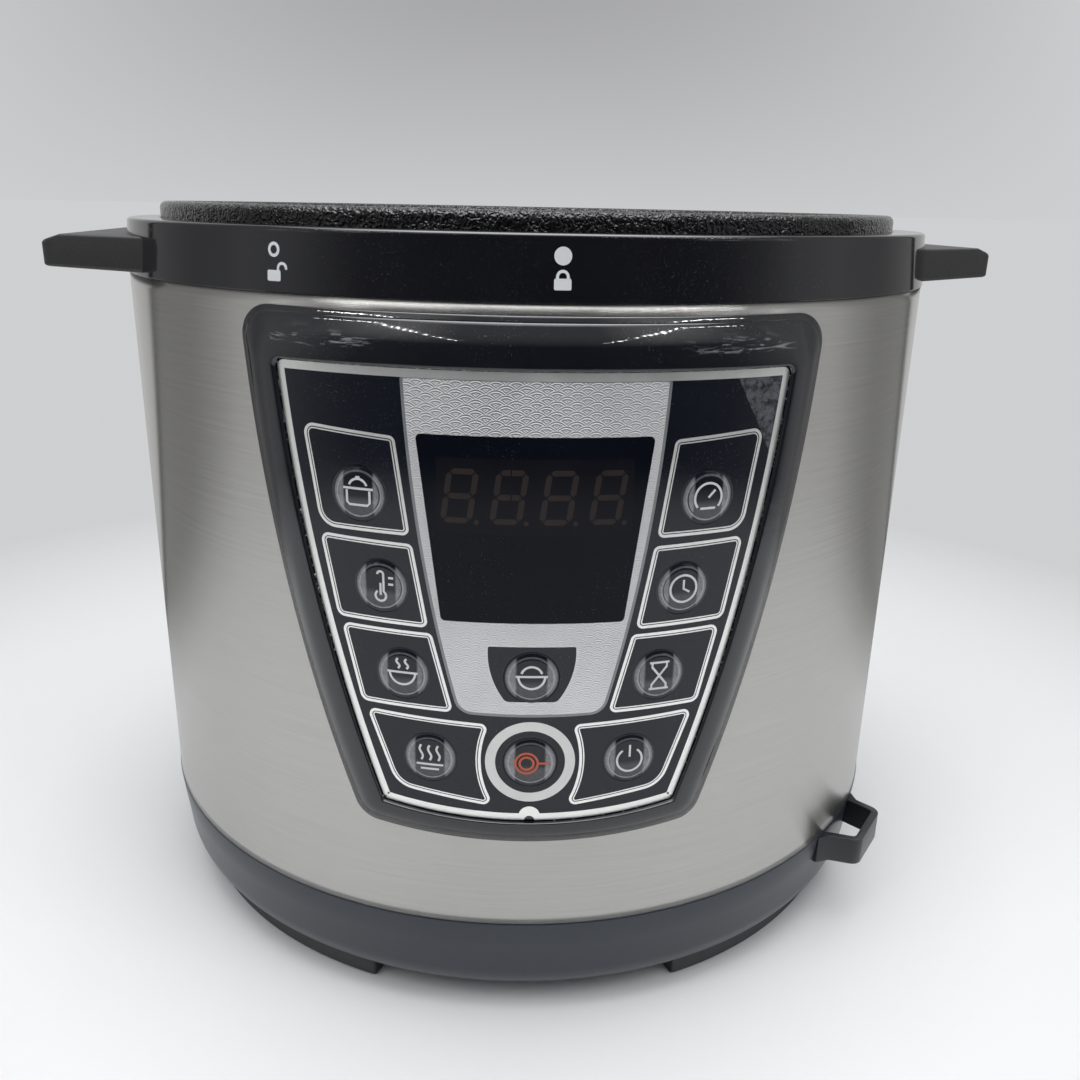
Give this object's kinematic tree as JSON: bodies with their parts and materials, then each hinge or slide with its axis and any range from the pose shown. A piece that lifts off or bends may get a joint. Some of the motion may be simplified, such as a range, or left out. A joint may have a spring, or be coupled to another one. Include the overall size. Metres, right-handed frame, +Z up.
{
  "type": "electric pressure cooker",
  "caption": "Countertop electric pressure cooker body without lid: brushed steel drum, black collar with side handles, front key panel with display, lift-out pot.",
  "frame": {"origin": "on the body's axis at the level the feet stand on", "axes": "+Z up, control panel faces -Y, handles along X"},
  "size_m": [0.319, 0.2825, 0.2368],
  "materials": {
    "base_grey": "satin moulded",
    "foot_grey": "matte moulded",
    "cover_black": "matte moulded",
    "zinc_steel": "zinc plated",
    "brushed_shell": "brushed round the body",
    "gloss_black": "gloss moulded",
    "matte_black": "fine textured",
    "hammertone": "hammertone enamel",
    "pot_coating": "dark non-stick coated",
    "cast_plate": "cast, turned top",
    "sensor_alloy": "spun",
    "switch_brown": "phenolic",
    "film_print": "printed gloss overlay",
    "smoked_lens": "smoked",
    "display_grey": "matte",
    "board_green": "solder mask",
    "switch_black": "matte",
    "relay_blue": "moulded",
    "winding_yellow": "taped winding",
    "capacitor_yellow": "moulded",
    "inlet_black": "moulded",
    "pin_brass": "nickelled",
    "wire_sleeve": "glass braid",
    "ribbon_grey": "flat cable",
    "key_film": "printed gloss overlay on a moulded key"
  },
  "bodies": {
    "cooker_body": {"base_ring": "base_grey", "bottom_cover": "cover_black", "bottom_screws": "zinc_steel", "feet": "foot_grey", "body_shell": "brushed_shell", "collar": "gloss_black", "handle_left": "matte_black", "handle_right": "matte_black", "handle_screws": "zinc_steel", "outer_pot": "hammertone", "heating_plate": "cast_plate", "element_terminals": "zinc_steel", "sensor_bracket": "zinc_steel", "sensor_spring": "zinc_steel", "pressure_switch": "switch_brown", "thermal_fuse": "sensor_alloy", "fuse_clip": "zinc_steel", "support_legs": "zinc_steel", "vessel_screws": "zinc_steel", "panel_bezel": "gloss_black", "panel_screws": "zinc_steel", "control_film": "film_print", "display_window": "smoked_lens", "display_module": "display_grey", "control_board": "board_green", "switch_housings": "switch_black", "power_board": "board_green", "board_screws": "zinc_steel", "relay": "relay_blue", "transformer": "winding_yellow", "capacitor": "capacitor_yellow", "power_inlet": "inlet_black", "inlet_pins": "pin_brass", "inlet_screws": "zinc_steel", "spoon_holder": "matte_black", "mains_wires": "wire_sleeve", "sensor_lead": "wire_sleeve", "panel_ribbon": "ribbon_grey"},
    "cooking_pot": {"inner_pot": "pot_coating"},
    "sensor": {"sensor_cap": "sensor_alloy"},
    "push_cook": {"key_cook": "key_film", "stem_cook": "switch_black"},
    "push_low_heat": {"key_low_heat": "key_film", "stem_low_heat": "switch_black"},
    "push_stew": {"key_stew": "key_film", "stem_stew": "switch_black"},
    "push_steam": {"key_steam": "key_film", "stem_steam": "switch_black"},
    "push_rice": {"key_rice": "key_film", "stem_rice": "switch_black"},
    "push_brown": {"key_brown": "key_film", "stem_brown": "switch_black"},
    "push_pressure": {"key_pressure": "key_film", "stem_pressure": "switch_black"},
    "push_timer": {"key_timer": "key_film", "stem_timer": "switch_black"},
    "push_delay": {"key_delay": "key_film", "stem_delay": "switch_black"},
    "push_cancel": {"key_cancel": "key_film", "stem_cancel": "switch_black"}
  },
  "joints": [
    {"name": "pot_lift", "type": "slide", "parent": "cooker_body", "child": "cooking_pot", "axis": [0, 0, 1], "range_m": [0, 0.2]},
    {"name": "sensor_press", "type": "slide", "parent": "cooker_body", "child": "sensor", "axis": [0, 0, 1], "range_m": [-0.002, 0], "stiffness_N_per_m": 600, "springref_m": 0.001, "deforming": ["sensor_spring"]},
    {"name": "press_cook", "type": "slide", "parent": "cooker_body", "child": "push_cook", "axis": [0, 1, 0], "range_m": [0, 0.0005], "stiffness_N_per_m": 3000},
    {"name": "press_low_heat", "type": "slide", "parent": "cooker_body", "child": "push_low_heat", "axis": [0, 1, 0], "range_m": [0, 0.0005], "stiffness_N_per_m": 3000},
    {"name": "press_stew", "type": "slide", "parent": "cooker_body", "child": "push_stew", "axis": [0, 1, 0], "range_m": [0, 0.0005], "stiffness_N_per_m": 3000},
    {"name": "press_steam", "type": "slide", "parent": "cooker_body", "child": "push_steam", "axis": [0, 1, 0], "range_m": [0, 0.0005], "stiffness_N_per_m": 3000},
    {"name": "press_rice", "type": "slide", "parent": "cooker_body", "child": "push_rice", "axis": [0, 1, 0], "range_m": [0, 0.0005], "stiffness_N_per_m": 3000},
    {"name": "press_brown", "type": "slide", "parent": "cooker_body", "child": "push_brown", "axis": [0, 1, 0], "range_m": [0, 0.0005], "stiffness_N_per_m": 3000},
    {"name": "press_pressure", "type": "slide", "parent": "cooker_body", "child": "push_pressure", "axis": [0, 1, 0], "range_m": [0, 0.0005], "stiffness_N_per_m": 3000},
    {"name": "press_timer", "type": "slide", "parent": "cooker_body", "child": "push_timer", "axis": [0, 1, 0], "range_m": [0, 0.0005], "stiffness_N_per_m": 3000},
    {"name": "press_delay", "type": "slide", "parent": "cooker_body", "child": "push_delay", "axis": [0, 1, 0], "range_m": [0, 0.0005], "stiffness_N_per_m": 3000},
    {"name": "press_cancel", "type": "slide", "parent": "cooker_body", "child": "push_cancel", "axis": [0, 1, 0], "range_m": [0, 0.0005], "stiffness_N_per_m": 3000}
  ]
}
